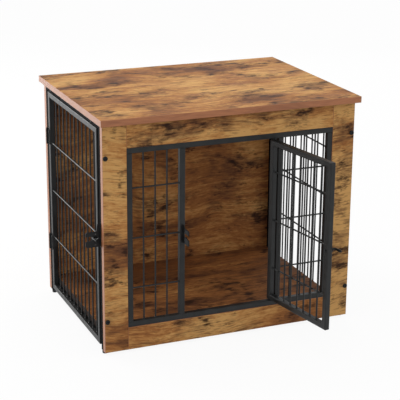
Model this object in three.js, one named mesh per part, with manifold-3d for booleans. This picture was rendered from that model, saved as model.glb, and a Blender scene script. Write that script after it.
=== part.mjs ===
import * as THREE from "three";
import Module from "manifold-3d";
import { mergeVertices } from "three/addons/utils/BufferGeometryUtils.js";

const wasm = await Module();
wasm.setup();

// Sizes in millimetres. The front faces -y, the left side -x, and z is 0 at the foot bottoms.

// Boards
const topWidth = 640;
const topDepth = 480;
const topHeight = 562;
const boardThickness = 15;
const sideOverhang = 7.5;
const frontOverhang = 15.7;
const bodyDepth = 446;
const boardEdge = 0.5;
const floorTop = 43.7;
const floorSideGap = 1;
const floorEndGap = 0.5;

// Square steel tube and round wire
const tube = 13;
const tubeCorner = 1.6;
const cornerSteps = 2;
const wireRadius = 2;
const wireSides = 8;
const wireOffset = 1.6;
const wireBury = 2;

// Feet
const footHeight = 8;
const footRadius = 6.3;
const footTipRadius = 5.4;

// Front insert and its two fixed bays
const insertHalfWidth = 256;
const insertBottom = 63.2;
const frontRailHeight = 56.6;
const insertInset = 0.3;
const doorwayHalfWidth = 116.3;
const bayWires = 3;
const frontRowShares = [0.203, 0.502, 0.797];

// Front door
const frontDoorGap = 2.5;
const frontDoorBottomGap = 2;
const frontDoorTopGap = 4.9;
const frontDoorAngle = 100;
const frontDoorWires = 7;
const pinRadius = 2.8;
const pinClearance = 0.3;
const pinDepth = 9;
const pinCollarRadius = 4.6;
const pinCollarGap = 0.3;

// Side door and fixed side panel
const sideDoorProud = 0.4;
const sideDoorHingeGap = 2.2;
const sideDoorLatchGap = 10.8;
const sideDoorBottom = 15;
const sideDoorTopGap = 1.5;
const sidePanelGap = 2.4;
const sideWires = 11;
const sideRowShares = [0.2645, 0.5148, 0.766];

// Butt hinges of the side door
const hingeRise = 128;
const hingeDrop = 113.5;
const hingeLength = 38;
const leafThickness = 1.8;
const leafWidth = 13;
const leafEdge = 3.4;
const knuckleRadius = 3;
const knuckleBore = 1.8;
const knuckleGap = 0.4;
const knuckleCount = 5;
const hingePinRadius = 1.5;
const hingeHeadRadius = 2.4;
const hingeHeadHeight = 1.2;
const hingeStandOff = 3.3;
const rivetRadius = 1.9;
const rivetHeight = 0.8;

// Latches: on each door a bent rod turns in the free stile, and its leg rests in the notch of a keeper
const frontLatchDrop = 8.6;
const frontRodReach = 23.5;
const sideLatchDrop = 4;
const sideRodReach = 33;
const rodRadius = 2.75;
const rodClearance = 0.3;
const rodStandOff = 11.5;
const rodBend = 6;
const rodShoulderRadius = 4.4;
const rodShoulderLength = 2;
const collarRadius = 6.2;
const collarThickness = 2;
const keeperThickness = 2;
const keeperInset = 8.3;
const keeperDepth = 35;
const keeperBelow = 15.5;
const keeperAbove = 21;
const keeperNotchTop = 10.2;
const keeperLipRise = 1.8;
const keeperCorner = 3;
const keeperHoleRadius = 1.6;
const keeperHoleInset = 5.5;
const keeperTabDepth = 9;
const frontTabRise = 6;
const sideTabRise = 17;

// Fasteners
const panelBoltRise = 76.5;
const panelBoltDrop = 75;
const panelHeadRadius = 5.6;
const panelHeadHeight = 3;
const panelShankRadius = 3;
const panelShankDepth = 10;
const railBoltFrontSetback = 58.7;
const railBoltRearSetback = 42.7;
const railBoltDrop = 6.5;
const railHeadRadius = 3.6;
const railHeadHeight = 1.6;
const railShankRadius = 2;
const railShankDepth = 8;
const holeClearance = 0.3;

// Derived positions
const bodyHalfWidth = topWidth / 2 - sideOverhang;
const underside = topHeight - boardThickness;
const frontFace = frontOverhang - topDepth / 2;
const frontInner = frontFace + boardThickness;
const rearFace = frontFace + bodyDepth;
const rearInner = rearFace - boardThickness;
const stileX = bodyHalfWidth - tube / 2;
const sideInner = bodyHalfWidth - tube;
const insertY = frontFace + insertInset + tube / 2;
const insertFace = frontFace + insertInset;
const frontStileY = frontInner + tube / 2;
const rearStileY = rearInner - tube / 2;
const insertTop = underside - frontRailHeight;
const railBase = underside - tube;
const sideTop = railBase - sideDoorTopGap;
const hingeHeights = [sideDoorBottom + hingeRise, sideTop - hingeDrop];
const panelBoltHeights = [footHeight + panelBoltRise, underside - panelBoltDrop];
const railBoltPositions = [frontInner + railBoltFrontSetback, rearInner - railBoltRearSetback];

const wood = { color: 0xa9773f, roughness: 0.55, metalness: 0 };
const steel = { color: 0x2b2e30, roughness: 0.45, metalness: 0.4 };
const hardware = { color: 0x191b1c, roughness: 0.5, metalness: 0.5 };
const plastic = { color: 0x151515, roughness: 0.7, metalness: 0 };

const table = new THREE.Group();
table.name = "crate_end_table";

function solid(geometry) {
  const bare = geometry.clone();
  bare.deleteAttribute("normal");
  bare.deleteAttribute("uv");
  const welded = mergeVertices(bare, 1e-4);
  const source = {
    numProp: 3,
    vertProperties: new Float32Array(welded.attributes.position.array),
    triVerts: new Uint32Array(welded.index.array),
  };
  return new wasm.Manifold(new wasm.Mesh(source));
}

function join(pieces) {
  return pieces.reduce((whole, piece) => whole.add(piece));
}

function cut(body, tools) {
  return tools.reduce((whole, tool) => whole.subtract(tool), body);
}

function addNode(name, shape, finish, turn) {
  const mesh = shape.getMesh();
  const geometry = new THREE.BufferGeometry();
  geometry.setAttribute("position", new THREE.BufferAttribute(new Float32Array(mesh.vertProperties), 3));
  geometry.setIndex(new THREE.BufferAttribute(new Uint32Array(mesh.triVerts), 1));
  if (turn) {
    geometry.applyMatrix4(turn);
  }
  geometry.computeVertexNormals();
  const node = new THREE.Mesh(geometry, new THREE.MeshStandardMaterial(finish));
  node.name = name;
  table.add(node);
}

function rectangle(outline, width, height) {
  outline.moveTo(-width / 2, -height / 2);
  outline.lineTo(width / 2, -height / 2);
  outline.lineTo(width / 2, height / 2);
  outline.lineTo(-width / 2, height / 2);
  outline.closePath();
  return outline;
}

// A flat piece in the xy plane, centred, with eased edges and an optional rectangular opening.
function slab(width, height, depth, edge, steps, opening) {
  const outline = rectangle(new THREE.Shape(), width, height);
  if (opening) {
    outline.holes.push(rectangle(new THREE.Path(), opening[0], opening[1]));
  }
  const geometry = new THREE.ExtrudeGeometry(outline, {
    depth: depth - 2 * edge,
    bevelThickness: edge,
    bevelSize: edge,
    bevelOffset: -edge,
    bevelSegments: steps,
  });
  geometry.translate(0, 0, edge - depth / 2);
  return geometry;
}

function standAcross(geometry) {
  return geometry.rotateX(Math.PI / 2);
}

function standAlong(geometry) {
  return geometry.rotateX(Math.PI / 2).rotateZ(Math.PI / 2);
}

function pointAlong(geometry, axis) {
  if (axis === "x") {
    geometry.rotateY(Math.PI / 2);
  }
  if (axis === "y") {
    geometry.rotateX(-Math.PI / 2);
  }
  return geometry;
}

// A length of square tube running from the point start to the point end along one axis.
function bar(axis, start, end) {
  const half = tube / 2 - tubeCorner;
  const outline = new THREE.Shape();
  outline.absarc(half, half, tubeCorner, 0, Math.PI / 2);
  outline.absarc(-half, half, tubeCorner, Math.PI / 2, Math.PI);
  outline.absarc(-half, -half, tubeCorner, Math.PI, 1.5 * Math.PI);
  outline.absarc(half, -half, tubeCorner, 1.5 * Math.PI, 2 * Math.PI);
  const length = new THREE.Vector3(...start).distanceTo(new THREE.Vector3(...end));
  const geometry = new THREE.ExtrudeGeometry(outline, {
    depth: length,
    bevelEnabled: false,
    curveSegments: cornerSteps,
  });
  return solid(pointAlong(geometry, axis).translate(...start));
}

function rod(axis, radius, sides, start, length) {
  const geometry = new THREE.CylinderGeometry(radius, radius, length, sides);
  geometry.rotateX(Math.PI / 2).translate(0, 0, length / 2);
  return solid(pointAlong(geometry, axis).translate(...start));
}

function block(low, high) {
  const size = high.map((value, i) => value - low[i]);
  const middle = high.map((value, i) => (value + low[i]) / 2);
  return solid(new THREE.BoxGeometry(...size).translate(...middle));
}

function bentRod(points, radius, bend, steps) {
  const path = new THREE.CurvePath();
  let from = points[0];
  for (let i = 1; i < points.length - 1; i += 1) {
    const into = new THREE.Vector3().subVectors(points[i - 1], points[i]).setLength(bend).add(points[i]);
    const out = new THREE.Vector3().subVectors(points[i + 1], points[i]).setLength(bend).add(points[i]);
    path.add(new THREE.LineCurve3(from, into));
    path.add(new THREE.QuadraticBezierCurve3(into, points[i], out));
    from = out;
  }
  path.add(new THREE.LineCurve3(from, points[points.length - 1]));
  const outline = new THREE.Shape().absarc(0, 0, radius, 0, 2 * Math.PI);
  const geometry = new THREE.ExtrudeGeometry(outline, { steps, extrudePath: path, curveSegments: 6 });
  return solid(geometry);
}

// A domed head with a straight shank, standing on the xy plane with the shank below it.
function boltShape(headRadius, headHeight, shankRadius, shankLength, sides) {
  const profile = [
    new THREE.Vector2(0, -shankLength),
    new THREE.Vector2(shankRadius, -shankLength),
    new THREE.Vector2(shankRadius, 0),
    new THREE.Vector2(headRadius, 0),
    new THREE.Vector2(headRadius, headHeight * 0.35),
    new THREE.Vector2(headRadius * 0.8, headHeight * 0.8),
    new THREE.Vector2(headRadius * 0.45, headHeight),
    new THREE.Vector2(0, headHeight),
  ];
  return new THREE.LatheGeometry(profile, sides).rotateX(Math.PI / 2);
}

function rowHeights(bottom, top, shares) {
  return shares.map((share) => bottom + share * (top - bottom));
}

// Wires of a grille that fills the space between low and high, in the plane across or along the front.
// Upright wires lie on the inner side and level wires on the outer side, sunk into each other
// where they cross.
function grilleWires(axis, plane, outward, low, high, uprights, rows, bury, rowReach) {
  const pieces = [];
  const pitch = (high[0] - low[0]) / (uprights + 1);
  const place = (along, offset, height) =>
    axis === "x" ? [along, plane + outward * offset, height] : [plane + outward * offset, along, height];
  for (let i = 1; i <= uprights; i += 1) {
    const start = place(low[0] + i * pitch, -wireOffset, low[1] - bury);
    pieces.push(rod("z", wireRadius, wireSides, start, high[1] - low[1] + 2 * bury));
  }
  for (const height of rows) {
    const start = place(low[0] - rowReach, wireOffset, height);
    pieces.push(rod(axis, wireRadius, wireSides, start, high[0] - low[0] + 2 * rowReach));
  }
  return pieces;
}

// Top, front, rear and floor boards
const topGeometry = slab(topWidth, topDepth, boardThickness, boardEdge, 1);
addNode("top_board", solid(topGeometry.translate(0, 0, topHeight - boardThickness / 2)), wood);

function uprightBoard(x0, x1, y0, z0, z1) {
  const geometry = slab(x1 - x0, z1 - z0, boardThickness, boardEdge, 1);
  standAcross(geometry).translate((x0 + x1) / 2, y0 + boardThickness / 2, (z0 + z1) / 2);
  return solid(geometry);
}

function panelHoles(y0, length, sides) {
  return sides.flatMap((side) =>
    panelBoltHeights.map((height) =>
      rod("y", panelShankRadius + holeClearance, 16, [side * stileX, y0, height], length),
    ),
  );
}

const throughBoard = boardThickness + 2;
for (const [side, label] of [[-1, "left"], [1, "right"]]) {
  const edges = [side * insertHalfWidth, side * bodyHalfWidth].sort((a, b) => a - b);
  const stile = uprightBoard(edges[0], edges[1], frontFace, footHeight, underside);
  addNode(`front_stile_${label}`, cut(stile, panelHoles(frontFace - 1, throughBoard, [side])), wood);
}
addNode(
  "front_rail_top",
  uprightBoard(-insertHalfWidth, insertHalfWidth, frontFace, insertTop, underside),
  wood,
);
addNode(
  "front_rail_bottom",
  uprightBoard(-insertHalfWidth, insertHalfWidth, frontFace, footHeight, insertBottom),
  wood,
);
const rearBoard = uprightBoard(-bodyHalfWidth, bodyHalfWidth, rearInner, footHeight, underside);
addNode("back_panel", cut(rearBoard, panelHoles(rearInner - 1, throughBoard, [-1, 1])), wood);

const floorWidth = 2 * (sideInner - floorSideGap);
const floorDepth = rearInner - frontInner - 2 * floorEndGap;
const floorGeometry = slab(floorWidth, floorDepth, boardThickness, boardEdge, 1);
floorGeometry.translate(0, (frontInner + rearInner) / 2, floorTop - boardThickness / 2);
addNode("floor_board", solid(floorGeometry), wood);

// Side frames: top rail, two stiles and an inner rail that carries the floor
const ledgerHeight = floorTop - boardThickness - tube / 2;
const ledgerX = sideInner - tube / 2;
for (const [side, label] of [[-1, "left"], [1, "right"]]) {
  const x = side * stileX;
  const railHoles = railBoltPositions.map((y) =>
    rod("x", railShankRadius + holeClearance, 12, [
      side > 0 ? bodyHalfWidth - railShankDepth - 0.5 : -bodyHalfWidth - 1,
      y,
      underside - railBoltDrop,
    ], railShankDepth + 1.5),
  );
  const topRail = bar("y", [x, frontInner, underside - tube / 2], [x, rearInner, underside - tube / 2]);
  addNode(`${label}_top_rail`, cut(topRail, railHoles), steel);
  const frontStile = bar("z", [x, frontStileY, footHeight], [x, frontStileY, railBase]);
  const rearStile = bar("z", [x, rearStileY, footHeight], [x, rearStileY, railBase]);
  const frontHoles = panelHoles(frontInner - 1, panelShankDepth + 1.5, [side]);
  const rearHoles = panelHoles(rearInner - panelShankDepth - 0.5, panelShankDepth + 1.5, [side]);
  addNode(`${label}_front_stile`, cut(frontStile, frontHoles), steel);
  addNode(`${label}_rear_stile`, cut(rearStile, rearHoles), steel);
  const ledgerStart = [side * ledgerX, frontInner, ledgerHeight];
  const ledgerEnd = [side * ledgerX, rearInner, ledgerHeight];
  addNode(`${label}_floor_rail`, bar("y", ledgerStart, ledgerEnd), steel);
  for (const [y, end] of [[frontStileY, "front"], [rearStileY, "rear"]]) {
    const profile = [
      new THREE.Vector2(0, 0),
      new THREE.Vector2(footTipRadius, 0),
      new THREE.Vector2(footRadius, 1.6),
      new THREE.Vector2(footRadius, footHeight),
      new THREE.Vector2(0, footHeight),
    ];
    const foot = new THREE.LatheGeometry(profile, 20).rotateX(Math.PI / 2).translate(x, y, 0);
    addNode(`foot_${label}_${end}`, solid(foot), plastic);
  }
}

// A welded grille panel: a mitred tube frame with its wires, standing in a side of the table
function sideGrille(plane, outward, y0, y1, rowReach) {
  const height = sideTop - sideDoorBottom;
  const frame = slab(y1 - y0, height, tube, tubeCorner, cornerSteps, [y1 - y0 - 2 * tube, height - 2 * tube]);
  standAlong(frame).translate(plane, (y0 + y1) / 2, (sideDoorBottom + sideTop) / 2);
  const low = [y0 + tube, sideDoorBottom + tube];
  const high = [y1 - tube, sideTop - tube];
  const wires = grilleWires("y", plane, outward, low, high, sideWires, sideRows, wireBury, rowReach);
  return join([solid(frame), ...wires]);
}

const sideRows = rowHeights(sideDoorBottom + tube, sideTop - tube, sideRowShares);
const panelStart = frontInner + tube + sidePanelGap;
const panelEnd = rearInner - tube - sidePanelGap;
addNode("right_panel", sideGrille(stileX, 1, panelStart, panelEnd, tube + sidePanelGap), steel);

// Front insert
const innerHalf = insertHalfWidth - tube;
const innerBottom = insertBottom + tube;
const innerTop = insertTop - tube;
const frontRows = rowHeights(innerBottom, innerTop, frontRowShares);
const postX = doorwayHalfWidth + tube / 2;
const pivotX = doorwayHalfWidth - frontDoorGap - tube / 2;
const pinHole = (z) => rod("z", pinRadius + pinClearance, 16, [pivotX, insertY, z], pinDepth + 1);

const insertRailTop = bar(
  "x",
  [-insertHalfWidth, insertY, insertTop - tube / 2],
  [insertHalfWidth, insertY, insertTop - tube / 2],
);
const insertRailBottom = bar(
  "x",
  [-insertHalfWidth, insertY, insertBottom + tube / 2],
  [insertHalfWidth, insertY, insertBottom + tube / 2],
);
addNode("insert_rail_top", cut(insertRailTop, [pinHole(innerTop - 1)]), steel);
addNode("insert_rail_bottom", cut(insertRailBottom, [pinHole(innerBottom - pinDepth)]), steel);
for (const [side, label] of [[-1, "left"], [1, "right"]]) {
  const outerX = side * (insertHalfWidth - tube / 2);
  addNode(
    `insert_stile_${label}`,
    bar("z", [outerX, insertY, innerBottom], [outerX, insertY, innerTop]),
    steel,
  );
  addNode(
    `insert_post_${label}`,
    bar("z", [side * postX, insertY, innerBottom], [side * postX, insertY, innerTop]),
    steel,
  );
  const ends = [side * innerHalf, side * (doorwayHalfWidth + tube)].sort((a, b) => a - b);
  const wires = grilleWires(
    "x",
    insertY,
    -1,
    [ends[0], innerBottom],
    [ends[1], innerTop],
    bayWires,
    frontRows,
    0,
    0,
  );
  addNode(`insert_grille_${label}`, join(wires), steel);
}

// A latch on a door's free stile: the bore through the stile, the collar on its face and the bent rod
function latchShapes(axis, centre, face, height, reach) {
  const point = (out, along) =>
    axis === "y"
      ? new THREE.Vector3(centre + along, face - out, height)
      : new THREE.Vector3(face - out, centre + along, height);
  const length = (radius, sides, out, depth) => rod(axis, radius, sides, point(out, 0).toArray(), depth);
  const bore = length(rodRadius + rodClearance, 16, tube / 2, 2 * tube);
  const collar = cut(length(collarRadius, 16, collarThickness, collarThickness), [bore]);
  const shoulderOut = collarThickness + rodShoulderLength;
  const shoulder = length(rodShoulderRadius, 16, shoulderOut, rodShoulderLength);
  const path = [point(1 - tube, 0), point(rodStandOff, 0), point(rodStandOff, -reach)];
  const turning = join([bentRod(path, rodRadius, rodBend, 16), shoulder]);
  return { bore, collar, turning };
}

// A keeper on the face of a post: a flat foot, and a plate that stands out of it with a notch for the leg
// of a rod. The lip in front of the notch holds the leg until the rod is turned up.
function keeperShape(axis, face, edge, height, seat, tabRise) {
  const pocket = rodRadius + rodClearance;
  const root = seat - pocket;
  const outline = new THREE.Shape();
  outline.moveTo(0, -keeperBelow);
  outline.lineTo(keeperDepth - keeperCorner, -keeperBelow);
  outline.lineTo(keeperDepth, keeperCorner - keeperBelow);
  outline.lineTo(keeperDepth, -keeperLipRise);
  outline.lineTo(seat + 2 * pocket, keeperLipRise);
  outline.lineTo(seat + pocket + 0.8, keeperLipRise);
  outline.lineTo(seat + pocket, keeperLipRise - 0.8);
  outline.absarc(seat, 0, pocket, 0, Math.PI, true);
  outline.lineTo(root * 0.65, keeperNotchTop * 0.5);
  outline.lineTo(root * 0.75, keeperNotchTop * 0.85);
  outline.lineTo(root, keeperNotchTop);
  outline.lineTo(keeperDepth, keeperNotchTop);
  outline.lineTo(keeperDepth, keeperAbove - keeperCorner);
  outline.lineTo(keeperDepth - keeperCorner, keeperAbove);
  outline.lineTo(keeperTabDepth, keeperAbove);
  outline.lineTo(keeperTabDepth * 0.8, keeperAbove + tabRise);
  outline.lineTo(0, keeperAbove + tabRise);
  outline.closePath();
  for (const rise of [keeperAbove - keeperHoleInset, keeperHoleInset - keeperBelow]) {
    outline.holes.push(new THREE.Path().absarc(seat, rise, keeperHoleRadius, 0, 2 * Math.PI));
  }
  const plate = new THREE.ExtrudeGeometry(outline, {
    depth: keeperThickness,
    bevelEnabled: false,
    curveSegments: 6,
  });
  plate.translate(0, 0, -keeperThickness / 2).rotateX(Math.PI / 2);
  const middle = edge + keeperInset;
  const low = height - keeperBelow;
  const high = height + keeperAbove + tabRise;
  if (axis === "x") {
    plate.rotateZ(-Math.PI / 2).translate(middle, face, height);
    return join([solid(plate), block([edge + 0.5, face - keeperThickness, low], [middle, face, high])]);
  }
  plate.rotateZ(Math.PI).translate(face, middle, height);
  return join([solid(plate), block([face - keeperThickness, edge + 0.5, low], [face, middle, high])]);
}

// Front door, drawn closed and turned about its pivot pins to where it stands open
const doorFree = -doorwayHalfWidth + frontDoorGap;
const doorHinge = pivotX + tube / 2;
const doorBottom = innerBottom + frontDoorBottomGap;
const doorTop = innerTop - frontDoorTopGap;
const openDoor = new THREE.Matrix4()
  .makeTranslation(pivotX, insertY, 0)
  .multiply(new THREE.Matrix4().makeRotationZ(THREE.MathUtils.degToRad(frontDoorAngle)))
  .multiply(new THREE.Matrix4().makeTranslation(-pivotX, -insertY, 0));

const doorOpening = [doorHinge - doorFree - 2 * tube, doorTop - doorBottom - 2 * tube];
const doorWidth = doorHinge - doorFree;
const doorFrame = slab(doorWidth, doorTop - doorBottom, tube, tubeCorner, cornerSteps, doorOpening);
standAcross(doorFrame).translate((doorHinge + doorFree) / 2, insertY, (doorBottom + doorTop) / 2);
const doorWires = grilleWires(
  "x",
  insertY,
  -1,
  [doorFree + tube, doorBottom + tube],
  [doorHinge - tube, doorTop - tube],
  frontDoorWires,
  frontRows,
  wireBury,
  wireBury,
);
const frontLatchHeight = frontRows[1] - frontLatchDrop;
const frontLatch = latchShapes("y", doorFree + tube / 2, insertFace, frontLatchHeight, frontRodReach);
const doorBody = cut(join([solid(doorFrame), ...doorWires]), [
  pinHole(doorBottom - 1),
  pinHole(doorTop - pinDepth),
  frontLatch.bore,
]);
addNode("front_door", doorBody, steel, openDoor);

const pinOverlap = 0.8 * pinDepth;
const lowerPinStart = innerBottom - pinDepth;
const lowerPinLength = doorBottom + pinOverlap - lowerPinStart;
const lowerPin = rod("z", pinRadius, 16, [pivotX, insertY, lowerPinStart], lowerPinLength);
const collarHeight = frontDoorBottomGap - pinCollarGap;
const pinCollar = rod("z", pinCollarRadius, 16, [pivotX, insertY, innerBottom], collarHeight);
const upperPinStart = doorTop - pinOverlap;
const upperPinLength = innerTop + pinDepth - upperPinStart;
const upperPin = rod("z", pinRadius, 16, [pivotX, insertY, upperPinStart], upperPinLength);
addNode("front_pin_lower", join([lowerPin, pinCollar]), hardware);
addNode("front_pin_upper", upperPin, hardware);

addNode("front_latch_collar", frontLatch.collar, hardware, openDoor);
addNode("front_latch_rod", frontLatch.turning, hardware, openDoor);
const postEdge = -doorwayHalfWidth - tube;
addNode(
  "front_keeper",
  keeperShape("x", insertFace, postEdge, frontLatchHeight, rodStandOff, frontTabRise),
  hardware,
);

// Side door with its hinges
const sideDoorX = -(stileX + sideDoorProud);
const sideDoorFace = sideDoorX - tube / 2;
const sideDoorFree = frontInner + tube + sideDoorLatchGap;
const sideDoorHinge = rearInner - tube - sideDoorHingeGap;
const sideLatchHeight = sideRows[1] - sideLatchDrop;
const sideLatchY = sideDoorFree + tube / 2;
const sideLatch = latchShapes("x", sideLatchY, sideDoorFace, sideLatchHeight, sideRodReach);
const sideDoor = sideGrille(sideDoorX, -1, sideDoorFree, sideDoorHinge, wireBury);
addNode("side_door", cut(sideDoor, [sideLatch.bore]), steel);
addNode("side_latch_collar", sideLatch.collar, hardware);
addNode("side_latch_rod", sideLatch.turning, hardware);
const sideSeat = rodStandOff + sideDoorProud;
addNode(
  "side_keeper",
  keeperShape("y", -bodyHalfWidth, frontInner, sideLatchHeight, sideSeat, sideTabRise),
  hardware,
);

const hingeX = -bodyHalfWidth - hingeStandOff - sideDoorProud;
const hingeY = sideDoorHinge + sideDoorHingeGap / 2;
const knuckleLength = (hingeLength - (knuckleCount - 1) * knuckleGap) / knuckleCount;

function hingeLeaf(height, seat, toward, odd) {
  const base = height - hingeLength / 2;
  const outer = seat - leafThickness;
  const far = hingeY + toward * leafWidth;
  const near = hingeY + toward * leafEdge;
  const plate = block(
    [outer, Math.min(near, far), base],
    [seat, Math.max(near, far), base + hingeLength],
  );
  const pieces = [plate];
  const bores = [];
  for (let i = 0; i < knuckleCount; i += 1) {
    if ((i % 2 === 1) === odd) {
      const z = base + i * (knuckleLength + knuckleGap);
      const reach = hingeY + toward * (leafEdge + 1);
      pieces.push(block(
        [outer, Math.min(hingeY, reach), z],
        [seat, Math.max(hingeY, reach), z + knuckleLength],
      ));
      pieces.push(rod("z", knuckleRadius, 16, [hingeX, hingeY, z], knuckleLength));
      bores.push(rod("z", knuckleBore, 16, [hingeX, hingeY, z - 1], knuckleLength + 2));
    }
  }
  for (const offset of [-hingeLength * 0.3, hingeLength * 0.3]) {
    const y = hingeY + toward * (leafEdge + (leafWidth - leafEdge) / 2);
    pieces.push(rod("x", rivetRadius, 10, [outer - rivetHeight, y, height + offset], rivetHeight + 0.5));
  }
  return cut(join(pieces), bores);
}

hingeHeights.forEach((height, i) => {
  const label = i === 0 ? "lower" : "upper";
  addNode(`hinge_${label}_frame_leaf`, hingeLeaf(height, -bodyHalfWidth, 1, false), hardware);
  addNode(`hinge_${label}_door_leaf`, hingeLeaf(height, sideDoorFace, -1, true), hardware);
  const base = height - hingeLength / 2;
  const shaft = rod("z", hingePinRadius, 12, [hingeX, hingeY, base - 0.6], hingeLength + 0.6);
  const head = rod("z", hingeHeadRadius, 12, [hingeX, hingeY, base + hingeLength], hingeHeadHeight);
  addNode(`hinge_${label}_pin`, join([shaft, head]), hardware);
});

// Fasteners
function placeBolt(name, shape, spin, position) {
  const geometry = shape.clone().applyMatrix4(spin).translate(...position);
  addNode(name, solid(geometry), hardware);
}

const towardFront = new THREE.Matrix4().makeRotationX(Math.PI / 2);
const towardRear = new THREE.Matrix4().makeRotationX(-Math.PI / 2);
const towardLeft = new THREE.Matrix4().makeRotationY(-Math.PI / 2);
const towardRight = new THREE.Matrix4().makeRotationY(Math.PI / 2);
const panelShank = boardThickness + panelShankDepth;
const panelBolt = boltShape(panelHeadRadius, panelHeadHeight, panelShankRadius, panelShank, 16);
const railBolt = boltShape(railHeadRadius, railHeadHeight, railShankRadius, railShankDepth, 12);

for (const [side, label] of [[-1, "left"], [1, "right"]]) {
  panelBoltHeights.forEach((height, i) => {
    const level = i === 0 ? "lower" : "upper";
    placeBolt(`front_bolt_${label}_${level}`, panelBolt, towardFront, [side * stileX, frontFace, height]);
    placeBolt(`rear_bolt_${label}_${level}`, panelBolt, towardRear, [side * stileX, rearFace, height]);
  });
  railBoltPositions.forEach((y, i) => {
    const end = i === 0 ? "front" : "rear";
    const spin = side < 0 ? towardLeft : towardRight;
    const place = [side * bodyHalfWidth, y, underside - railBoltDrop];
    placeBolt(`rail_bolt_${label}_${end}`, railBolt, spin, place);
  });
}

// The origin is under the middle of the whole outline, at floor level.
const bounds = new THREE.Box3().setFromObject(table);
const middle = bounds.getCenter(new THREE.Vector3());
for (const node of table.children) {
  node.geometry.translate(-middle.x, -middle.y, -bounds.min.z);
}

export default table;
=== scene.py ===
import math

import bpy
from mathutils import Matrix, Vector


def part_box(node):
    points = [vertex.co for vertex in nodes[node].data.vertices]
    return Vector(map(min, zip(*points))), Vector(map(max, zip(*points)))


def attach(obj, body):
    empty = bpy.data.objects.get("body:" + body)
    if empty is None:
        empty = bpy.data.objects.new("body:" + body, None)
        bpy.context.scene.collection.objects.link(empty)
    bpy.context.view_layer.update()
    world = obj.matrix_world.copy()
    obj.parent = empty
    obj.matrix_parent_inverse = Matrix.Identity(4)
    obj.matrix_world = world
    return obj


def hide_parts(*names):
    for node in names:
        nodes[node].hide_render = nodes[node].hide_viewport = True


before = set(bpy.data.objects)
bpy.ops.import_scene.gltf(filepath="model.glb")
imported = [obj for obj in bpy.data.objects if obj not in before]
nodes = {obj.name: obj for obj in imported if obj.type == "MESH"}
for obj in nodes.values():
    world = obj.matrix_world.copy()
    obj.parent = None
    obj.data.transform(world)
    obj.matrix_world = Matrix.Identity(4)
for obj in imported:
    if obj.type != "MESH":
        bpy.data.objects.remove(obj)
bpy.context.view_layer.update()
mm = 0.001
topLow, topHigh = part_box("top_board")
centreX = (topLow.x + topHigh.x) / 2  # off the frame's origin, because the door stands open
centreY = (topLow.y + topHigh.y) / 2


def at(x, y, z):
    # millimetres from the middle of the top board to metres in the frame
    return Vector((centreX + x * mm, centreY + y * mm, z * mm))


def linear(hexColour):
    # sRGB hex to linear
    channels = [int(hexColour[i:i + 2], 16) / 255 for i in (1, 3, 5)]
    return tuple(c / 12.92 if c <= 0.04045 else ((c + 0.055) / 1.055) ** 2.4 for c in channels) + (1.0,)


def addNode(tree, kind, settings=None, links=None, **options):
    node = tree.nodes.new(kind)
    for name, value in options.items():
        setattr(node, name, value)
    for name, value in (settings or {}).items():
        node.inputs[name].default_value = value
    for name, source in (links or {}).items():
        tree.links.new(source, node.inputs[name])
    return node


def newMaterial(name):
    material = bpy.data.materials.new(name)
    material.use_nodes = True
    material.node_tree.nodes.clear()
    return material, material.node_tree


def setRamp(ramp, stops):
    # stops of place and colour, or of place and a grey value
    elements = ramp.color_ramp.elements
    while len(elements) < len(stops):
        elements.new(0.5)
    for element, (place, colour) in zip(elements, stops):
        element.position = place
        element.color = linear(colour) if isinstance(colour, str) else (colour, colour, colour, 1)
    return ramp


print("camera")
# fitted to the photograph: lens, sensor and place in mm, angles in degrees
cameraView = {
    "lens": 118.487,
    "sensor": 36,
    "place": (-1185.36, -2855.07, 1277.80),
    "azimuth": -22.788,
    "elevation": 18.0,
    "roll": 0.441,
}
azimuth, elevation, roll = (math.radians(cameraView[key]) for key in ("azimuth", "elevation", "roll"))
level = math.cos(elevation)
ahead = Vector((-math.sin(azimuth) * level, math.cos(azimuth) * level, -math.sin(elevation)))
right = Vector((math.cos(azimuth), math.sin(azimuth), 0))
up = right.cross(ahead)
tiltedRight = right * math.cos(roll) + up * math.sin(roll)
tiltedUp = up * math.cos(roll) - right * math.sin(roll)
cameraData = bpy.data.cameras.new("camera")
cameraData.sensor_width = cameraView["sensor"]
cameraData.lens = cameraView["lens"]
camera = bpy.data.objects.new("camera", cameraData)
bpy.context.scene.collection.objects.link(camera)
turn = Matrix((tiltedRight, tiltedUp, -ahead)).transposed()
camera.matrix_world = Matrix.Translation(at(*cameraView["place"])) @ turn.to_4x4()
bpy.context.scene.camera = camera

print("materials")
# printed sheet: the colours of the print, and of the bands on the edges: ironed on, or drawn dark as painted
# shade for the floor board's edge, which lies in shade behind the side door
woodPrint = {
    "palest": "#d6a566",
    "pale": "#bf884f",
    "middle": "#a36b3d",
    "brown": "#7e5231",
    "smudge": "#59392a",
    "knot": "#2f1e17",
    "edgeBand": "#b3734a",
    "edgeGrain": "#955c3a",
    "bareBand": "#33241c",
    "bareGrain": "#241914",
}
# noise drawn out along the grain: length and width of its blobs in mm, detail, roughness and where it starts;
# the lines of a real print are under 1 mm wide, and the finest are drawn 3 mm wide here, so that they show
printLayers = {
    "patches": (210, 120, 3.0, 0.5, 1.3),
    "bands": (150, 16, 4.0, 0.6, 3.7),
    "grain": (60, 3.0, 4.0, 0.65, 9.1),
    "clouds": (84, 56, 6.0, 0.62, 17.3),
    "knots": (40, 22, 5.0, 0.6, 31.9),
    "ragged": (26, 4.2, 4.0, 0.65, 23.9),
    "fibres": (64, 3.2, 3.0, 0.55, 41.7),
    "flecks": (16, 6.0, 3.0, 0.6, 57.3),
}
# the grain's way: waves to the metre, how far it swings in metres, and from which length in mm on blobs are
# drawn out with the board
grainWay = {"waves": 5.0, "swing": (0.02, 0.05, 0.05), "drawnFrom": 70}
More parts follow.
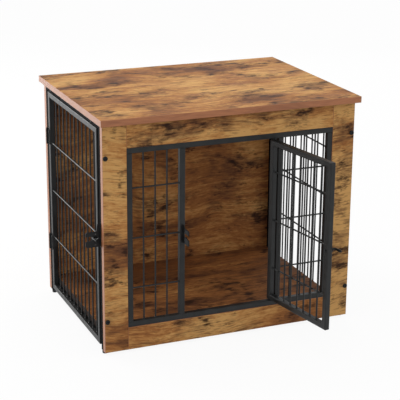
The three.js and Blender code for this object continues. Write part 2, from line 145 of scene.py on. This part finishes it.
# what is mixed from the layers: the value in the middle and the weight of each layer
printMixes = {
    "tone": (0.64, {"patches": 2.2, "bands": 1.2, "grain": 1.1, "flecks": 0.9}),
    "blotch": (0.50, {"clouds": 1.0, "patches": -0.35, "ragged": 0.36, "grain": 0.2}),
    "knotty": (0.50, {"knots": 1.0, "clouds": 0.9, "ragged": 0.45, "bands": -0.3}),
    "fibre": (0.50, {"fibres": 1.0, "clouds": 0.4}),
    "edge": (0.50, {"bands": 2.0, "grain": 2.0}),
}
printTones = [(0.0, "brown"), (0.4, "middle"), (0.68, "pale"), (1.0, "palest")]
# what darkens the print, from the widest to the smallest: the mix, its colour and how it comes in
printStains = {
    "blotch": ("smudge", [(0.49, 0.0), (0.57, 0.4), (0.68, 0.8)]),
    "fibre": ("smudge", [(0.54, 0.0), (0.62, 0.45), (0.7, 0.55)]),
    "knotty": ("knot", [(0.595, 0.0), (0.66, 0.45), (0.76, 0.92)]),
}
# the film on the sheet, with the varnish that only the bands have, and how much of it lies on each band
printFilm = {"IOR": 1.45, "Specular IOR Level": 0.12, "Coat IOR": 1.5, "Coat Roughness": 0.42}
bandVarnish = {"edge": 0.9, "bare": 0.0}
filmRoughness = {"From Min": 0.35, "From Max": 0.65, "To Min": 0.58, "To Max": 0.72}
printRelief = {"Strength": 0.3, "Distance": 0.0004}
faceLimit = 0.8  # cosine of the tilt at which a board's face ends and its edge begins


def makeWoodPrint(name, offset, thickness, stretch, printShiftAndPaintedShade, edge):
    # melamine-faced particle board printed as rustic wood: golden brown, matt, stained in drawn-out blotches
    # and ragged dark knots
    material, tree = newMaterial(name)
    out = addNode(tree, "ShaderNodeOutputMaterial")
    shader = addNode(tree, "ShaderNodeBsdfPrincipled", printFilm)
    tree.links.new(shader.outputs["BSDF"], out.inputs["Surface"])
    place = addNode(tree, "ShaderNodeTexCoord")
    moved = addNode(tree, "ShaderNodeMapping", {"Location": offset}, {"Vector": place.outputs["Object"]})

    # the grain wanders up and down
    wander = addNode(
        tree,
        "ShaderNodeTexNoise",
        {"Scale": grainWay["waves"], "Detail": 1.0},
        {"Vector": moved.outputs["Vector"]},
    )
    swing = addNode(
        tree,
        "ShaderNodeVectorMath",
        {1: grainWay["swing"], 2: tuple(-reach / 2 for reach in grainWay["swing"])},
        {0: wander.outputs["Color"]},
        operation="MULTIPLY_ADD",
    )
    grainPlace = addNode(
        tree,
        "ShaderNodeVectorMath",
        None,
        {0: moved.outputs["Vector"], 1: swing.outputs["Vector"]},
        operation="ADD",
    )
    layers = {}
    for layer, (length, across, detail, roughness, start) in printLayers.items():
        drawn = length * stretch if length > grainWay["drawnFrom"] else length
        scaled = addNode(
            tree,
            "ShaderNodeMapping",
            {"Location": (start, start, start), "Scale": (1000 / drawn, 1000 / across, 1000 / across)},
            {"Vector": grainPlace.outputs["Vector"]},
        )
        layers[layer] = addNode(
            tree,
            "ShaderNodeTexNoise",
            {"Scale": 1.0, "Detail": detail, "Roughness": roughness},
            {"Vector": scaled.outputs["Vector"]},
        )
    mixes = {}
    for mix, (middle, weights) in printMixes.items():
        total = None
        for layer, weight in weights.items():
            links = {0: layers[layer].outputs["Fac"]}
            if total:
                links[2] = total.outputs["Value"]
            total = addNode(tree, "ShaderNodeMath", {1: weight}, links, operation="MULTIPLY_ADD")
            if 2 not in links:
                # the shift makes the board's print paler or darker; inside the box it is painted shade
                shift = printShiftAndPaintedShade if mix == "tone" else 0
                total.inputs[2].default_value = middle + shift - 0.5 * sum(weights.values())
        mixes[mix] = total.outputs["Value"]

    ground = setRamp(
        addNode(tree, "ShaderNodeValToRGB", None, {"Fac": mixes["tone"]}),
        [(stop, woodPrint[tone]) for stop, tone in printTones],
    )
    printed = ground.outputs["Color"]
    for mix, (colour, stops) in printStains.items():
        mask = setRamp(addNode(tree, "ShaderNodeValToRGB", None, {"Fac": mixes[mix]}), stops)
        stained = addNode(
            tree,
            "ShaderNodeMix",
            {"B": linear(woodPrint[colour])},
            {"Factor": mask.outputs["Color"], "A": printed},
            data_type="RGBA",
        )
        printed = stained.outputs["Result"]

    # the plain band shows wherever the surface doesn't look along the board's thickness
    # on the floor board the band is drawn dark, as painted shade for the shade its edge lies in
    band = setRamp(
        addNode(tree, "ShaderNodeValToRGB", None, {"Fac": mixes["edge"]}),
        [(0.0, woodPrint[edge + "Grain"]), (1.0, woodPrint[edge + "Band"])],
    )
    facing = addNode(tree, "ShaderNodeSeparateXYZ", None, {"Vector": place.outputs["Normal"]})
    size = addNode(tree, "ShaderNodeMath", None, {0: facing.outputs[thickness]}, operation="ABSOLUTE")
    isFace = addNode(
        tree,
        "ShaderNodeMath",
        {1: faceLimit},
        {0: size.outputs["Value"]},
        operation="GREATER_THAN",
    )
    colour = addNode(
        tree,
        "ShaderNodeMix",
        None,
        {"Factor": isFace.outputs["Value"], "A": band.outputs["Color"], "B": printed},
        data_type="RGBA",
    )
    tree.links.new(colour.outputs["Result"], shader.inputs["Base Color"])

    # the printed film is a little duller in some bands, and the band on the edges has a soft gloss
    rough = addNode(tree, "ShaderNodeMapRange", filmRoughness, {"Value": layers["bands"].outputs["Fac"]})
    tree.links.new(rough.outputs["Result"], shader.inputs["Roughness"])
    varnish = addNode(
        tree,
        "ShaderNodeMapRange",
        {"To Min": bandVarnish[edge], "To Max": 0.0},
        {"Value": isFace.outputs["Value"]},
    )
    tree.links.new(varnish.outputs["Result"], shader.inputs["Coat Weight"])
    bump = addNode(tree, "ShaderNodeBump", printRelief, {"Height": layers["grain"].outputs["Fac"]})
    tree.links.new(bump.outputs["Normal"], shader.inputs["Normal"])
    return material


# steel coats: colour and its paler patches, roughness, orange peel in mm, how much it mirrors, and in mm how
# round it makes edges; the peel is coarser than a real one, so that it shows
steelCoats = {
    "powderCoatedSteelTube": {
        "colour": "#1a1b1b",
        "paler": "#242525",
        "roughness": 0.42,
        "peel": 1.2,
        "shine": 0.3,
        "rounding": 0.6,
    },
    # painted shade: the frame tubes carry the doors' coat, drawn near black and dull for the shade they lie
    # in
    "frameTubeCoatWithPaintedShade": {
        "colour": "#0b0b0c",
        "paler": "#111213",
        "roughness": 0.62,
        "peel": 1.2,
        "shine": 0.02,
        "rounding": 0.6,
    },
    "blackenedSteelHardware": {
        "colour": "#0e0f10",
        "paler": "#18191a",
        "roughness": 0.5,
        "peel": 0.8,
        "shine": 0.25,
        "rounding": 0.35,
    },
}
# what all coats share: patches of 25 mm, where they turn pale, and how far their roughness goes up and down
coatPatches = {"size": 25.0, "dark": 0.42, "pale": 0.6, "smooth": 0.38, "dull": 0.62, "spread": 0.06}
coatRelief = {"Strength": 0.2, "Distance": 0.0001}


def makeSteelCoat(name, coat):
    # powder coat sprayed and baked on steel: even dark grey, a fine orange peel, and edges softened by
    # the coat
    material, tree = newMaterial(name)
    out = addNode(tree, "ShaderNodeOutputMaterial")
    shader = addNode(tree, "ShaderNodeBsdfPrincipled", {"IOR": 1.5, "Specular IOR Level": coat["shine"]})
    tree.links.new(shader.outputs["BSDF"], out.inputs["Surface"])
    place = addNode(tree, "ShaderNodeTexCoord")
    peel = addNode(
        tree,
        "ShaderNodeTexNoise",
        {"Scale": 1000 / coat["peel"], "Detail": 2.0},
        {"Vector": place.outputs["Object"]},
    )
    mottle = addNode(
        tree,
        "ShaderNodeTexNoise",
        {"Scale": 1000 / coatPatches["size"], "Detail": 5.0},
        {"Vector": place.outputs["Object"]},
    )
    colour = setRamp(
        addNode(tree, "ShaderNodeValToRGB", None, {"Fac": mottle.outputs["Fac"]}),
        [(coatPatches["dark"], coat["colour"]), (coatPatches["pale"], coat["paler"])],
    )
    tree.links.new(colour.outputs["Color"], shader.inputs["Base Color"])
    rough = addNode(
        tree,
        "ShaderNodeMapRange",
        {
            "From Min": coatPatches["smooth"],
            "From Max": coatPatches["dull"],
            "To Min": coat["roughness"] - coatPatches["spread"],
            "To Max": coat["roughness"] + coatPatches["spread"],
        },
        {"Value": mottle.outputs["Fac"]},
    )
    tree.links.new(rough.outputs["Result"], shader.inputs["Roughness"])
    softEdge = addNode(tree, "ShaderNodeBevel", {"Radius": coat["rounding"] * mm}, samples=4)
    bump = addNode(
        tree,
        "ShaderNodeBump",
        coatRelief,
        {"Height": peel.outputs["Fac"], "Normal": softEdge.outputs["Normal"]},
    )
    tree.links.new(bump.outputs["Normal"], shader.inputs["Normal"])
    return material


# the grit of the mould is 0.6 mm here, coarser than real, so that it shows
footPlastic = {
    "colour": "#0f0f10",
    "paler": "#1b1b1c",
    "grit": 0.6,
    "scuffs": 240.0,
    "smooth": 0.5,
    "dull": 0.8,
}


def makeMouldedPlastic(name):
    # injection moulded polypropylene: near black, dull, with the fine grit of the mould wall
    material, tree = newMaterial(name)
    out = addNode(tree, "ShaderNodeOutputMaterial")
    shader = addNode(tree, "ShaderNodeBsdfPrincipled", {"IOR": 1.49})
    tree.links.new(shader.outputs["BSDF"], out.inputs["Surface"])
    place = addNode(tree, "ShaderNodeTexCoord")
    grit = addNode(
        tree,
        "ShaderNodeTexNoise",
        {"Scale": 1000 / footPlastic["grit"], "Detail": 2.0},
        {"Vector": place.outputs["Object"]},
    )
    scuff = addNode(
        tree,
        "ShaderNodeTexNoise",
        {"Scale": footPlastic["scuffs"], "Detail": 4.0},
        {"Vector": place.outputs["Object"]},
    )
    tint = setRamp(
        addNode(tree, "ShaderNodeValToRGB", None, {"Fac": scuff.outputs["Fac"]}),
        [(0.42, footPlastic["colour"]), (0.66, footPlastic["paler"])],
    )
    tree.links.new(tint.outputs["Color"], shader.inputs["Base Color"])
    rough = addNode(
        tree,
        "ShaderNodeMapRange",
        {"To Min": footPlastic["smooth"], "To Max": footPlastic["dull"]},
        {"Value": grit.outputs["Fac"]},
    )
    tree.links.new(rough.outputs["Result"], shader.inputs["Roughness"])
    bump = addNode(
        tree,
        "ShaderNodeBump",
        {"Strength": 0.3, "Distance": 0.0001},
        {"Height": grit.outputs["Fac"]},
    )
    tree.links.new(bump.outputs["Normal"], shader.inputs["Normal"])
    return material


tubeSteel, shadedFrameSteel, hardwareSteel = (makeSteelCoat(name, coat) for name, coat in steelCoats.items())
footMaterial = makeMouldedPlastic("mouldedPolypropyleneFoot")

# where each board is cut from the printed sheet, the axis it is thin along, how drawn out its blotches are,
# how much its print is shifted paler, which on the back panel and the floor board is painted shade, a darker
# print for the shade inside the box, and its edge band
boards = {
    "top_board": ((0.0, 0.0, 0.0), "Z", 1.0, 0.0, "edge"),
    "front_stile_left": ((1.3, 0.4, 0.7), "Y", 1.3, 0.08, "edge"),
    "front_stile_right": ((2.9, 2.4, 3.1), "Y", 1.3, 0.42, "edge"),
    "front_rail_top": ((3.4, 0.8, 1.5), "Y", 1.3, 0.2, "edge"),
    "front_rail_bottom": ((4.2, 2.6, 0.9), "Y", 1.3, 0.0, "edge"),
    # the back panel and the floor board are printed darker, and the floor board's band drawn dark, as painted
    # shade
    "back_panel": ((5.7, 1.1, 2.3), "Y", 1.3, -0.1, "edge"),
    "floor_board": ((6.3, 3.2, 1.8), "Z", 1.3, -0.55, "bare"),
}
hardwareWords = ("bolt", "hinge", "latch", "keeper", "front_pin")
frameWords = ("left_", "right_front", "right_rear", "right_top", "right_floor")
for name, node in nodes.items():
    if name in boards:
        material = makeWoodPrint("rusticPrint_" + name, *boards[name])
    elif name.startswith("foot_"):
        material = footMaterial
    elif any(word in name for word in hardwareWords):
        material = hardwareSteel
    # the frame tubes take the coat with painted shade
    elif name.startswith(frameWords):
        material = shadedFrameSteel
    else:
        material = tubeSteel
    node.data.materials.clear()
    node.data.materials.append(material)


def deselect():
    if bpy.context.mode != "OBJECT":
        bpy.ops.object.mode_set(mode="OBJECT")
    bpy.ops.object.select_all(action="DESELECT")


def pickFaces(piece, test):
    # leaves the piece in edit mode with only the faces that pass the test selected
    bpy.ops.object.mode_set(mode="OBJECT")
    for part in (piece.data.vertices, piece.data.edges):
        for item in part:
            item.select = False
    for face in piece.data.polygons:
        face.select = test(face.center, face.normal)
    bpy.context.tool_settings.mesh_select_mode = (False, False, True)
    bpy.ops.object.mode_set(mode="EDIT")


def closePiece(piece, name, material, angle=35):
    # doubles merged, faces pointing out, and only the sharp edges left sharp
    bpy.ops.object.mode_set(mode="EDIT")
    bpy.ops.mesh.select_all(action="SELECT")
    bpy.ops.mesh.remove_doubles(threshold=0.00001)
    bpy.ops.mesh.normals_make_consistent(inside=False)
    deselect()
    piece.select_set(True)
    bpy.context.view_layer.objects.active = piece
    bpy.ops.object.transform_apply(location=True, rotation=True, scale=True)
    bpy.ops.object.shade_smooth_by_angle(angle=math.radians(angle))
    piece.name = name
    piece.data.materials.clear()
    piece.data.materials.append(material)


def placeCopy(pattern, name, matrix):
    piece = pattern.copy()
    piece.data = pattern.data.copy()
    piece.name = name
    bpy.context.scene.collection.objects.link(piece)
    deselect()
    piece.matrix_world = matrix
    piece.select_set(True)
    bpy.context.view_layer.objects.active = piece
    bpy.ops.object.transform_apply(location=True, rotation=True, scale=True)
    return piece


def standing(place, outward, along):
    # a matrix whose Z looks outward and whose X runs along
    outward, along = Vector(outward).normalized(), Vector(along).normalized()
    turn = Matrix((along, outward.cross(along), outward)).transposed()
    return Matrix.Translation(place) @ turn.to_4x4()


def joinPieces(pieces, name):
    deselect()
    for piece in pieces:
        piece.select_set(True)
    bpy.context.view_layer.objects.active = pieces[0]
    bpy.ops.object.join()
    pieces[0].name = name
    return pieces[0]


print("bolts")
# screws in mm: radii of head, socket and shank, the others heights and lengths
bolts = {
    "panel": {
        "head": 5.6,
        "height": 3.0,
        "dome": 1.5,
        "socket": 2.4,
        "socketDepth": 1.9,
        "shank": 3.0,
        "length": 25.0,
        "chamfer": 0.4,
    },
    "rail": {
        "head": 3.6,
        "height": 1.6,
        "dome": 0.8,
        "socket": 1.4,
        "socketDepth": 1.0,
        "shank": 2.0,
        "length": 8.0,
        "chamfer": 0.4,
    },
}


def makeBolt(name, bolt):
    # a button-head screw standing on the XY plane, with a hexagon socket
    deselect()
    head, height = bolt["head"] * mm, bolt["height"] * mm
    bpy.ops.mesh.primitive_cylinder_add(vertices=32, radius=head, depth=height, location=(0, 0, height / 2))
    screw = bpy.context.object
    bpy.ops.object.transform_apply(location=True)
    pickFaces(screw, lambda centre, normal: normal.z > 0.9)
    bpy.ops.mesh.bevel(offset=bolt["dome"] * mm, segments=5, profile=0.5)
    pickFaces(screw, lambda centre, normal: normal.z < -0.9)
    bpy.ops.mesh.inset(thickness=head - bolt["shank"] * mm)
    bpy.ops.mesh.extrude_region_move(TRANSFORM_OT_translate={"value": (0, 0, -bolt["length"] * mm)})
    bpy.ops.mesh.bevel(offset=bolt["chamfer"] * mm, segments=1)
    deselect()
    bpy.ops.mesh.primitive_cylinder_add(
        vertices=6,
        radius=bolt["socket"] * mm,
        depth=2 * bolt["socketDepth"] * mm,
        location=(0, 0, height),
    )
    socket = bpy.context.object
    deselect()
    screw.select_set(True)
    bpy.context.view_layer.objects.active = screw
    cutter = screw.modifiers.new("socket", "BOOLEAN")
    cutter.operation = "DIFFERENCE"
    cutter.object = socket
    bpy.ops.object.modifier_apply(modifier=cutter.name)
    bpy.data.objects.remove(socket)
    closePiece(screw, name, hardwareSteel)
    return screw


boltPatterns = {kind: makeBolt(kind + "BoltPattern", bolt) for kind, bolt in bolts.items()}
outwards = {"front": (0, -1, 0), "rear": (0, 1, 0), "left": (-1, 0, 0), "right": (1, 0, 0)}
for name in [node for node in nodes if "_bolt_" in node]:
    words = name.split("_")
    kind = "rail" if words[0] == "rail" else "panel"
    outward = Vector(outwards[words[2] if kind == "rail" else words[0]])
    low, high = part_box(name)
    reach = (high - low).dot(Vector([abs(value) for value in outward])) / 2
    seat = (low + high) / 2 + outward * (reach - bolts[kind]["height"] * mm)
    piece = placeCopy(boltPatterns[kind], "screw_" + name, standing(seat, outward, (0, 0, 1)))
    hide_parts(name)
    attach(piece, "frame")
for pattern in boltPatterns.values():
    bpy.data.objects.remove(pattern)

print("latch rods")
frontDoor = {"openAngle": 100, "width": 214.6}
doorAngle = math.radians(frontDoor["openAngle"])
doorAlong = Vector((-math.cos(doorAngle), -math.sin(doorAngle), 0))  # from the pivot pins to the free edge
doorOutward = Vector((math.sin(doorAngle), -math.cos(doorAngle), 0))
# a rod in mm: inner and standOff are its reach below and above the face it turns on, and each step of the tip
# is a share of the radius to go on and a width to shrink to
latchRod = {
    "radius": 2.75,
    "inner": 12.0,
    "standOff": 11.5,
    "bend": 6.0,
    "bendSteps": 10,
    "tip": ((0.45, 0.89), (0.35, 0.67), (0.2, 0.4)),
    "shoulder": 4.4,
    "shoulderHeight": 2.0,
    "shoulderRound": 0.6,
    "collar": 2.0,
    "sides": 24,
}
latches = {
    "front": {"reach": 23.5, "outward": doorOutward, "along": doorAlong, "body": "front_latch"},
    "side": {"reach": 33.0, "outward": (-1, 0, 0), "along": (0, -1, 0), "body": "side_latch"},
}


def makeLatchRod(reach):
    # round bar: a straight stem, a bend and a leg with a rounded tip, then the shoulder turned on the stem
    deselect()
    radius, bend = latchRod["radius"] * mm, latchRod["bend"] * mm
    inner, standOff = latchRod["inner"] * mm, latchRod["standOff"] * mm
    bpy.ops.mesh.primitive_circle_add(
        vertices=latchRod["sides"],
        radius=radius,
        fill_type="NGON",
        location=(0, 0, -inner),
    )
    bar = bpy.context.object
    bpy.ops.object.transform_apply(location=True)
    pickFaces(bar, lambda centre, normal: True)
    stem = inner + standOff - bend
    bpy.ops.mesh.extrude_region_move(TRANSFORM_OT_translate={"value": (0, 0, stem)})
    bpy.ops.mesh.spin(
        steps=latchRod["bendSteps"],
        angle=math.pi / 2,
        center=(bend, 0, standOff - bend),
        axis=(0, -1, 0),
    )
    leg = reach * mm - bend - radius
    bpy.ops.mesh.extrude_region_move(TRANSFORM_OT_translate={"value": (leg, 0, 0)})
    for share, width in latchRod["tip"]:
        bpy.ops.mesh.extrude_region_move(TRANSFORM_OT_translate={"value": (radius * share, 0, 0)})
        bpy.ops.transform.resize(value=(1, width, width))
    deselect()
    shoulderHeight = latchRod["shoulderHeight"] * mm
    bpy.ops.mesh.primitive_cylinder_add(
        vertices=latchRod["sides"],
        radius=latchRod["shoulder"] * mm,
        depth=shoulderHeight,
        location=(0, 0, latchRod["collar"] * mm + shoulderHeight / 2),
    )
    shoulder = bpy.context.object
    bpy.ops.object.transform_apply(location=True)
    pickFaces(shoulder, lambda centre, normal: normal.z > 0.9)
    bpy.ops.mesh.bevel(offset=latchRod["shoulderRound"] * mm, segments=3)
    deselect()
    piece = joinPieces([bar, shoulder], "latchRodPattern")
    closePiece(piece, "latchRodPattern", hardwareSteel)
    return piece


for side, latch in latches.items():
    outward = Vector(latch["outward"])
    low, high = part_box(side + "_latch_collar")
    face = (low + high) / 2 - outward * latchRod["collar"] * mm / 2
    pattern = makeLatchRod(latch["reach"])
    piece = placeCopy(pattern, side + "LatchRod", standing(face, outward, latch["along"]))
    bpy.data.objects.remove(pattern)
    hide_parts(side + "_latch_rod")
    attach(piece, latch["body"])

print("welds")
# grilles: tube, how far each wire is off the tubes' middle and the right panel's gap in mm, upright wires,
# and level wires as shares of the height between the rails
grille = {
    "tube": 13.0,
    "wireOffset": 1.6,
    "panelGap": 2.4,
    "insertUprights": 3,
    "frontDoorUprights": 7,
    "sideUprights": 11,
    "frontRows": (0.203, 0.502, 0.797),
    "sideRows": (0.2645, 0.5148, 0.766),
}
# a bead in mm: radii at its base and tip, height, rounding and wobble; the turn from bead to bead in radians
weld = {
    "base": 3.0,
    "tip": 2.15,
    "height": 1.7,
    "sides": 12,
    "round": 0.3,
    "wobble": 0.12,
    "evenness": 0.6,
    "seed": 7,
    "turn": 0.9,
}


def makeWeld():
    # a small collar of weld metal where a wire runs into a tube, wide on the tube and drawn up the wire
    deselect()
    bpy.ops.mesh.primitive_cone_add(
        vertices=weld["sides"],
        radius1=weld["base"] * mm,
        radius2=weld["tip"] * mm,
        depth=weld["height"] * mm,
        location=(0, 0, weld["height"] * mm / 2),
    )
    bead = bpy.context.object
    bpy.ops.object.transform_apply(location=True)
    pickFaces(bead, lambda centre, normal: normal.z > 0.9)
    bpy.ops.mesh.bevel(offset=weld["round"] * mm, segments=2)
    pickFaces(bead, lambda centre, normal: abs(normal.z) < 0.9)
    bpy.ops.transform.vertex_random(offset=weld["wobble"] * mm, uniform=weld["evenness"], seed=weld["seed"])
    deselect()
    closePiece(bead, "weldPattern", tubeSteel, angle=60)
    return bead


weldPattern = makeWeld()


def wireRows(heights, shares):
    return [heights[0] + share * (heights[1] - heights[0]) for share in shares]


def weldGrille(name, body, origin, along, outward, span, heights, uprights, rows):
    # welds at both ends of every wire: uprights on the inner side of the plane, level wires on the outer side
    along, outward, upward = Vector(along), Vector(outward), Vector((0, 0, 1))
    offset = grille["wireOffset"] * mm
    pitch = (span[1] - span[0]) / (uprights + 1)
    ends = []
    for i in range(1, uprights + 1):
        for height, way in zip(heights, (1, -1)):
            end = origin + along * (span[0] + i * pitch) - outward * offset + upward * height
            ends.append((end, upward * way))
    for height in rows:
        for place, way in zip(span, (1, -1)):
            end = origin + along * place + outward * offset + upward * height
            ends.append((end, along * way))
    beads = []
    for i, (place, way) in enumerate(ends):
        spin = Matrix.Rotation(i * weld["turn"], 4, "Z")
        beads.append(placeCopy(weldPattern, name, standing(place, way, outward) @ spin))
    piece = joinPieces(beads, name)
    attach(piece, body)


tube = grille["tube"] * mm
railLow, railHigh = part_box("insert_rail_top")
insertPlane = Vector((0, (railLow.y + railHigh.y) / 2, 0))
for side in ("left", "right"):
    low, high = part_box("insert_grille_" + side)
    heights = (low.z, high.z)
    frontRows = wireRows(heights, grille["frontRows"])
    weldGrille(
        "insertWelds_" + side,
        "frame",
        insertPlane,
        (1, 0, 0),
        (0, -1, 0),
        (low.x, high.x),
        heights,
        grille["insertUprights"],
        frontRows,
    )

# the front door's level wires stand at the heights of the insert's
pinLow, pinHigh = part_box("front_pin_lower")
doorLow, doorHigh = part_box("front_door")
weldGrille(
    "frontDoorWelds",
    "front_door",
    Vector(((pinLow.x + pinHigh.x) / 2, (pinLow.y + pinHigh.y) / 2, 0)),
    doorAlong,
    doorOutward,
    (tube / 2, frontDoor["width"] * mm - tube / 2),
    (doorLow.z + tube, doorHigh.z - tube),
    grille["frontDoorUprights"],
    frontRows,
)

for name, body, outward, reach in (
    ("side_door", "side_door", -1, tube),
    ("right_panel", "frame", 1, tube + grille["panelGap"] * mm),
):
    low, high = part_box(name)
    heights = (low.z + tube, high.z - tube)
    weldGrille(
        name + "Welds",
        body,
        Vector(((low.x + high.x) / 2, 0, 0)),
        (0, 1, 0),
        (outward, 0, 0),
        (low.y + reach, high.y - reach),
        heights,
        grille["sideUprights"],
        wireRows(heights, grille["sideRows"]),
    )
bpy.data.objects.remove(weldPattern)

print("studio")
bpy.context.scene.view_settings.view_transform = "Standard"
# strength of the soft light and of the white that is seen, share of that white in the floor, greys of its
# paper where it throws light back and where it is seen, size of the floor and aim of the lamps in metres
studio = {
    "soft": 0.8,
    "white": 1.0,
    "floorShare": 0.92,
    "bounce": 0.5,
    "paper": 0.95,
    "floorSize": 14,
    "aim": (0, 0, 0.28),
}
world = bpy.data.worlds.new("studio")
bpy.context.scene.world = world
world.use_nodes = True
sky = world.node_tree
sky.nodes.clear()
skyOut = addNode(sky, "ShaderNodeOutputWorld")
skyRays = addNode(sky, "ShaderNodeLightPath")
soft = addNode(sky, "ShaderNodeBackground", {"Color": (1, 1, 1, 1), "Strength": studio["soft"]})
white = addNode(sky, "ShaderNodeBackground", {"Color": (1, 1, 1, 1), "Strength": studio["white"]})
skySeen = addNode(
    sky,
    "ShaderNodeMath",
    None,
    {0: skyRays.outputs["Is Camera Ray"], 1: skyRays.outputs["Is Glossy Ray"]},
    operation="MAXIMUM",
)
skyMix = addNode(
    sky,
    "ShaderNodeMixShader",
    None,
    {0: skySeen.outputs[0], 1: soft.outputs[0], 2: white.outputs[0]},
)
sky.links.new(skyMix.outputs[0], skyOut.inputs["Surface"])

deselect()
bpy.ops.mesh.primitive_plane_add(size=studio["floorSize"], location=(0, 0, 0))
floor = bpy.context.object
floor.name = "studioFloor"
# seamless paper: seen nearly white, with the shadow on it, and throwing a softer light back up
floorPaper, tree = newMaterial("whiteStudioPaper")
floorOut = addNode(tree, "ShaderNodeOutputMaterial")
floorRays = addNode(tree, "ShaderNodeLightPath")
bounce = addNode(tree, "ShaderNodeBsdfDiffuse", {"Color": (studio["bounce"],) * 3 + (1,)})
paper = addNode(tree, "ShaderNodeBsdfDiffuse", {"Color": (studio["paper"],) * 3 + (1,)})
glow = addNode(tree, "ShaderNodeEmission", {"Color": (1, 1, 1, 1), "Strength": studio["white"]})
lit = addNode(
    tree,
    "ShaderNodeMixShader",
    {0: studio["floorShare"]},
    {1: paper.outputs[0], 2: glow.outputs[0]},
)
floorSeen = addNode(
    tree,
    "ShaderNodeMath",
    None,
    {0: floorRays.outputs["Is Camera Ray"], 1: floorRays.outputs["Is Glossy Ray"]},
    operation="MAXIMUM",
)
floorMix = addNode(
    tree,
    "ShaderNodeMixShader",
    None,
    {0: floorSeen.outputs[0], 1: bounce.outputs[0], 2: lit.outputs[0]},
)
tree.links.new(floorMix.outputs[0], floorOut.inputs["Surface"])
floor.data.materials.append(floorPaper)

# the strong one behind on the left draws the pale lines on the left side's tubes and edges
lamps = {
    "overheadSoftbox": {"place": (-0.3, -0.3, 3.0), "size": 2.0, "watts": 9},
    "rearSoftbox": {"place": (1.3, 2.7, 1.3), "size": 1.6, "watts": 5},
    "leftSoftbox": {"place": (-1.9, 2.2, 0.7), "size": 1.6, "watts": 50},
}
for name, lamp in lamps.items():
    data = bpy.data.lights.new(name, "AREA")
    data.shape = "SQUARE"
    data.size = lamp["size"]
    data.energy = lamp["watts"]
    light = bpy.data.objects.new(name, data)
    bpy.context.scene.collection.objects.link(light)
    light.location = lamp["place"]
    light.rotation_euler = (Vector(studio["aim"]) - light.location).to_track_quat("-Z", "Y").to_euler()
